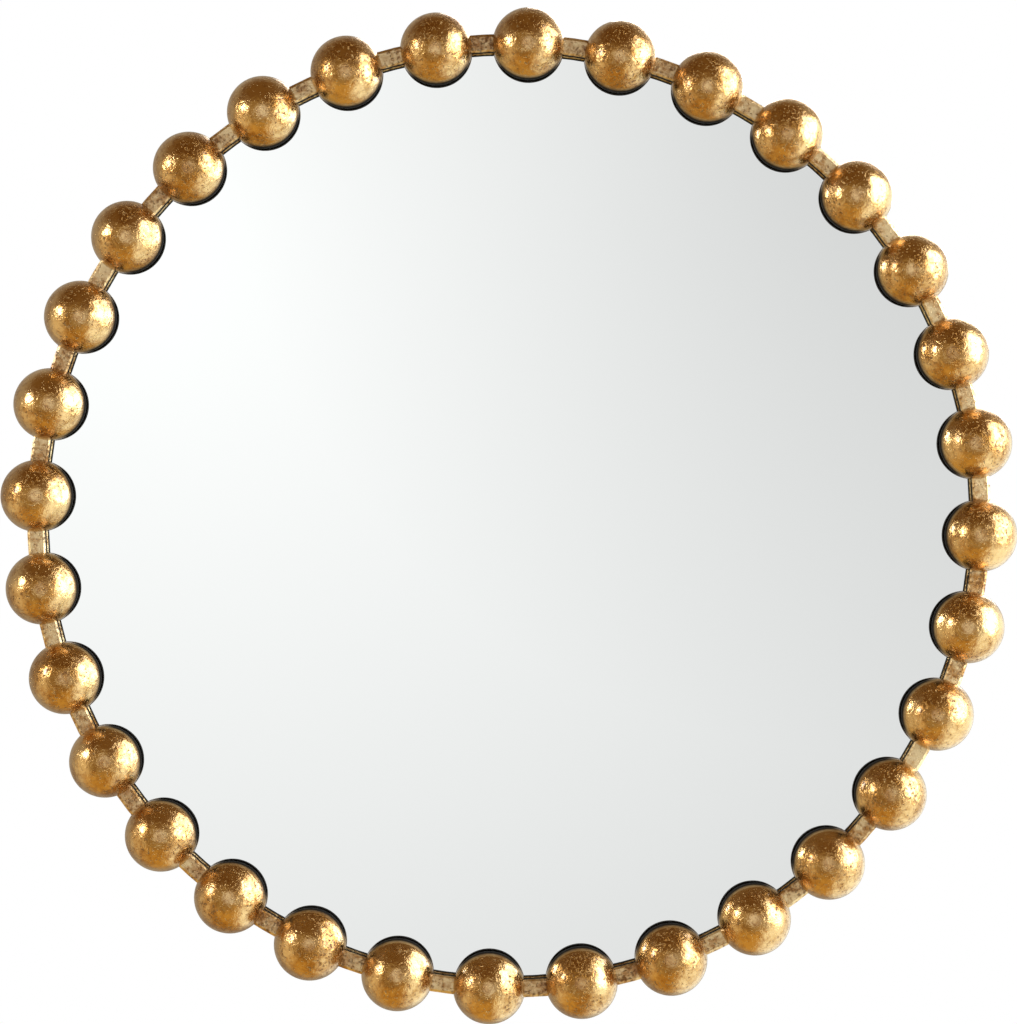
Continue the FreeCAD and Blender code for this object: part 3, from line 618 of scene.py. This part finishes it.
def rubber_material(settings):
    """Moulded black rubber: dull, slightly bloomed, with a fine mould texture."""
    material, tree = new_material("moulded_black_rubber")
    place = add_node(tree, "ShaderNodeTexCoord", output="Object")
    bloom = add_node(
        tree, "ShaderNodeTexNoise",
        {"Vector": place, "Scale": 0.5 / settings.bloom_size, "Detail": 4},
    )
    grain = add_node(
        tree, "ShaderNodeTexNoise",
        {"Vector": place, "Scale": 0.5 / settings.mould_grain, "Detail": 2},
    )
    bloomed = add_node(
        tree, "ShaderNodeMapRange", {"Value": bloom, "From Min": 0.35, "From Max": 0.75},
    )
    shader = add_node(
        tree, "ShaderNodeBsdfPrincipled",
        {
            "Base Color": add_node(
                tree, "ShaderNodeMix", {0: bloomed, 6: settings.rubber, 7: settings.bloom},
                output=2, data_type="RGBA",
            ),
            "IOR": 1.52,
            "Roughness": add_node(
                tree, "ShaderNodeMapRange", {"Value": bloomed, "To Min": 0.62, "To Max": 0.8},
            ),
            "Normal": add_node(tree, "ShaderNodeBump", {"Height": grain, "Distance": 0.05 * MM}),
        },
    )
    add_node(tree, "ShaderNodeOutputMaterial", {"Surface": shader})
    return material


class MIRROR_OT_finish_hardware(bpy.types.Operator):
    """Finish the lugs, bumpers, hangers and screws"""

    bl_idname = "mirror.finish_hardware"
    bl_label = "Finish the hardware"

    def execute(self, context):
        settings = context.scene.mirror_hardware
        dress_nodes(lacquered_steel_material(settings), LUGS)
        dress_nodes(zinc_plate_material(settings), [*SCREWS, *HANGERS])
        dress_nodes(rubber_material(settings), BUMPERS)
        return {"FINISHED"}


# ---- Studio ----------------------------------------------------------------------------------


def aim(thing, target):
    """Turn an object's -Z towards a point."""
    direction = Vector(target) - thing.location
    thing.rotation_euler = direction.to_track_quat("-Z", "Y").to_euler()


def add_camera(settings):
    """Look square at the mirror, rolled a little, with its middle where the picture has it."""
    data = bpy.data.cameras.new("camera")
    camera = bpy.data.objects.new("camera", data)
    bpy.context.scene.collection.objects.link(camera)
    data.sensor_fit = "HORIZONTAL"
    pixels_away = settings.pixels_per_metre * settings.camera_distance
    data.lens = data.sensor_width * pixels_away / settings.picture_width
    right = (settings.centre_right - settings.picture_width / 2) / settings.pixels_per_metre
    up = (settings.picture_height / 2 - settings.centre_down) / settings.pixels_per_metre
    roll = Matrix.Rotation(settings.roll, 4, "Z")
    level = Matrix.Rotation(math.radians(90), 4, "X")
    turned = level @ roll
    offset = turned @ Vector((right, up, 0))
    camera.matrix_world = Matrix.Translation(
        Vector((0, BEAD_PLANE - settings.camera_distance, 0)) - offset
    ) @ turned
    bpy.context.scene.camera = camera


# Each softbox: name, direction and distance from the mirror, width and height, radiance, and the
# degrees that it is rolled about its own axis.
SOFTBOXES = (
    ("key_softbox", (0.90, -0.27, 0.32), 3.0, (2.7, 3.3), 4.6, -25),
    ("left_softbox", (-0.89, -0.42, 0.2), 3.2, (0.6, 0.75), 16, 0),
    ("back_softbox", (0.3, 0.85, 0.45), 2.6, (1.6, 1.6), 3, 0),
)


def add_softbox(name, direction, distance, size, radiance, roll):
    """Hang a softbox in a direction from the mirror, turned towards it."""
    data = bpy.data.lights.new(name, "AREA")
    data.shape = "RECTANGLE"
    data.size, data.size_y = size
    data.energy = radiance * math.pi * data.size * data.size_y
    light = bpy.data.objects.new(name, data)
    bpy.context.scene.collection.objects.link(light)
    light.location = Vector(direction).normalized() * distance
    light.visible_camera = False
    aim(light, (0, 0, 0))
    light.rotation_euler.rotate_axis("Z", math.radians(roll))


def painted_floor_material(settings):
    """Pale paint rolled on a studio floor: even, dull, a shade uneven."""
    material, tree = new_material("pale_painted_floor")
    place = add_node(tree, "ShaderNodeTexCoord", output="Object")
    clouds = add_node(tree, "ShaderNodeTexNoise", {"Vector": place, "Scale": 2.0, "Detail": 4})
    shader = add_node(
        tree, "ShaderNodeBsdfPrincipled",
        {
            "Base Color": add_node(
                tree, "ShaderNodeMix", {0: clouds, 6: settings.floor, 7: settings.floor_worn},
                output=2, data_type="RGBA",
            ),
            "Roughness": 0.6,
        },
    )
    add_node(tree, "ShaderNodeOutputMaterial", {"Surface": shader})
    return material


# Half the floor's width, the radius of its corners and the straight pieces that round each one.
FLOOR_HALF = 1.5
FLOOR_CORNER = 0.5
CORNER_STEPS = 8


def add_floor(settings):
    """Lay a pale floor with rounded corners below the mirror."""
    mesh = bpy.data.meshes.new("studio_floor")
    build = bmesh.new()
    straight = FLOOR_HALF - FLOOR_CORNER
    drop = Vector((0, 0, -settings.floor_drop))
    for quarter in range(4):
        turn = quarter * math.pi / 2
        middle = Matrix.Rotation(turn, 3, "Z") @ Vector((straight, straight, 0))
        for step in range(CORNER_STEPS + 1):
            angle = turn + step * math.pi / 2 / CORNER_STEPS
            spoke = Vector((math.cos(angle), math.sin(angle), 0)) * FLOOR_CORNER
            build.verts.new(middle + spoke + drop)
    build.faces.new(build.verts)
    build.to_mesh(mesh)
    build.free()
    mesh.materials.append(painted_floor_material(settings))
    floor = bpy.data.objects.new("studio_floor", mesh)
    bpy.context.scene.collection.objects.link(floor)
    floor.visible_glossy = False


ROOM_RADIUS = 3.9
ROOM_COLOUR = "#ADA290"
# Each patch of the room: direction from the mirror, degrees within which it is full and beyond
# which it is gone, its colour and its strength. They are the warm wall on the lower left, the
# floor, the dark ceiling, the shade round the camera's card and the bright right side.
ROOM_PATCHES = (
    ((-0.75, -0.45, -0.45), 22, 55, "#F3E1B8", 1.0),
    ((0.05, -0.4, -1), 30, 62, "#D9AE5A", 1.0),
    ((-0.15, -0.45, 0.9), 33, 68, "#7A5A30", 1.0),
    ((-0.25, -1, -0.1), 28, 48, "#A88E5C", 1.0),
    ((0.9, 0.1, -0.35), 38, 66, "#F4FBF4", 1.6),
)
# The card round the camera is laid over the patches: its direction, and the degrees within which
# it is full and beyond which it is gone. Its two spots each have a place on the room's front, a
# reach in metres, and the light added there and at that reach: it is brightest on the left and
# shaded on the upper right.
CARD_DIRECTION = (0, -1, 0)
CARD_REACH = (17, 23)
CARD_SPOTS = (
    ((-0.9, -ROOM_RADIUS, 0.55), 2.1, 1.136, 0.808),
    ((0.75, -ROOM_RADIUS, 0.9), 1.4, -0.167, 0.0),
)


def studio_room_material():
    """What polished pieces see of the studio: each card and wall as a soft patch of light."""
    material, tree = new_material("studio_room")
    place = add_node(tree, "ShaderNodeTexCoord", output="Object")
    outward = add_node(tree, "ShaderNodeVectorMath", {0: place}, operation="NORMALIZE")
    grey = 0.0
    for spot, reach, near, far in CARD_SPOTS:
        away = add_node(
            tree, "ShaderNodeVectorMath", {0: place, 1: spot}, output="Value",
            operation="DISTANCE",
        )
        light = add_node(
            tree, "ShaderNodeMapRange",
            {"Value": away, "From Max": reach, "To Min": near, "To Max": far},
        )
        grey = add_node(tree, "ShaderNodeMath", {0: grey, 1: light}, operation="ADD")
    card = add_node(tree, "ShaderNodeCombineColor", {0: grey, 1: grey, 2: grey})
    patches = [
        (direction, inside, outside, [part * strength for part in linear(tint)])
        for direction, inside, outside, tint, strength in ROOM_PATCHES
    ]
    room = linear(ROOM_COLOUR)
    for direction, inside, outside, light in [*patches, (CARD_DIRECTION, *CARD_REACH, card)]:
        facing = add_node(
            tree, "ShaderNodeVectorMath", {0: outward, 1: Vector(direction).normalized()},
            output="Value", operation="DOT_PRODUCT",
        )
        reach = add_node(
            tree, "ShaderNodeMapRange",
            {"Value": facing, "From Min": math.cos(math.radians(outside)),
             "From Max": math.cos(math.radians(inside))},
            interpolation_type="SMOOTHSTEP",
        )
        room = add_node(
            tree, "ShaderNodeMix", {0: reach, 6: room, 7: light}, output=2, data_type="RGBA",
        )
    glow = add_node(tree, "ShaderNodeEmission", {"Color": room, "Strength": 1.0})
    add_node(tree, "ShaderNodeOutputMaterial", {"Surface": glow})
    return material


def add_studio_room():
    """Build the round room of cards that only polished pieces see."""
    mesh = bpy.data.meshes.new("studio_room")
    build = bmesh.new()
    bmesh.ops.create_icosphere(build, subdivisions=4, radius=ROOM_RADIUS)
    build.to_mesh(mesh)
    build.free()
    mesh.materials.append(studio_room_material())
    room = bpy.data.objects.new("studio_room", mesh)
    bpy.context.scene.collection.objects.link(room)
    room.visible_camera = False
    room.visible_diffuse = False
    room.visible_shadow = False


def light_world(settings):
    """White where the camera or a polished piece looks past everything, softer elsewhere."""
    world = bpy.data.worlds.new("studio")
    bpy.context.scene.world = world
    world.use_nodes = True
    tree = world.node_tree
    tree.nodes.clear()
    seen = add_node(tree, "ShaderNodeLightPath", output="Is Camera Ray")
    for ray in ("Is Glossy Ray", "Is Transmission Ray"):
        other = add_node(tree, "ShaderNodeLightPath", output=ray)
        seen = add_node(tree, "ShaderNodeMath", {0: seen, 1: other}, operation="MAXIMUM")
    soft = add_node(
        tree, "ShaderNodeBackground",
        {"Color": linear("#FAFCFF"), "Strength": settings.world_strength},
    )
    white = add_node(tree, "ShaderNodeBackground", {"Color": linear("#FFFFFF"), "Strength": 1.0})
    both = add_node(tree, "ShaderNodeMixShader", {0: seen, 1: soft, 2: white})
    add_node(tree, "ShaderNodeOutputWorld", {"Surface": both})


class MIRROR_OT_build_studio(bpy.types.Operator):
    """Set up the camera, soft boxes, room and floor"""

    bl_idname = "mirror.build_studio"
    bl_label = "Build the studio"

    def execute(self, context):
        settings = context.scene.mirror_studio
        add_camera(settings)
        add_floor(settings)
        add_studio_room()
        light_world(settings)
        for softbox in SOFTBOXES:
            add_softbox(*softbox)
        context.scene.view_settings.view_transform = "Standard"
        return {"FINISHED"}


# ---- Panel and registration ------------------------------------------------------------------


OPERATORS = (
    MIRROR_OT_build_studio,
    MIRROR_OT_gild_beads,
    MIRROR_OT_gild_hoop,
    MIRROR_OT_finish_panel,
    MIRROR_OT_finish_hardware,
)


class MIRROR_PT_pieces(bpy.types.Panel):
    """List the mirror's pieces and the studio"""

    bl_idname = "MIRROR_PT_pieces"
    bl_label = "Beaded Wall Mirror"
    bl_space_type = "VIEW_3D"
    bl_region_type = "UI"
    bl_category = "Mirror"

    def draw(self, context):
        for operator in OPERATORS:
            self.layout.operator(operator.bl_idname)


CLASSES = (*SETTINGS.values(), *OPERATORS, MIRROR_PT_pieces)


def register():
    """Make the settings, the operators and the panel known to Blender."""
    for cls in CLASSES:
        bpy.utils.register_class(cls)
    for name, group in SETTINGS.items():
        setattr(bpy.types.Scene, name, PointerProperty(type=group))


def unregister():
    """Take the settings, the operators and the panel out again."""
    for name in SETTINGS:
        delattr(bpy.types.Scene, name)
    for cls in reversed(CLASSES):
        bpy.utils.unregister_class(cls)


def main():
    """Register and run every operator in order."""
    register()
    for operator in OPERATORS:
        group, name = operator.bl_idname.split(".")
        getattr(getattr(bpy.ops, group), name)()


if __name__ == "__main__":
    main()
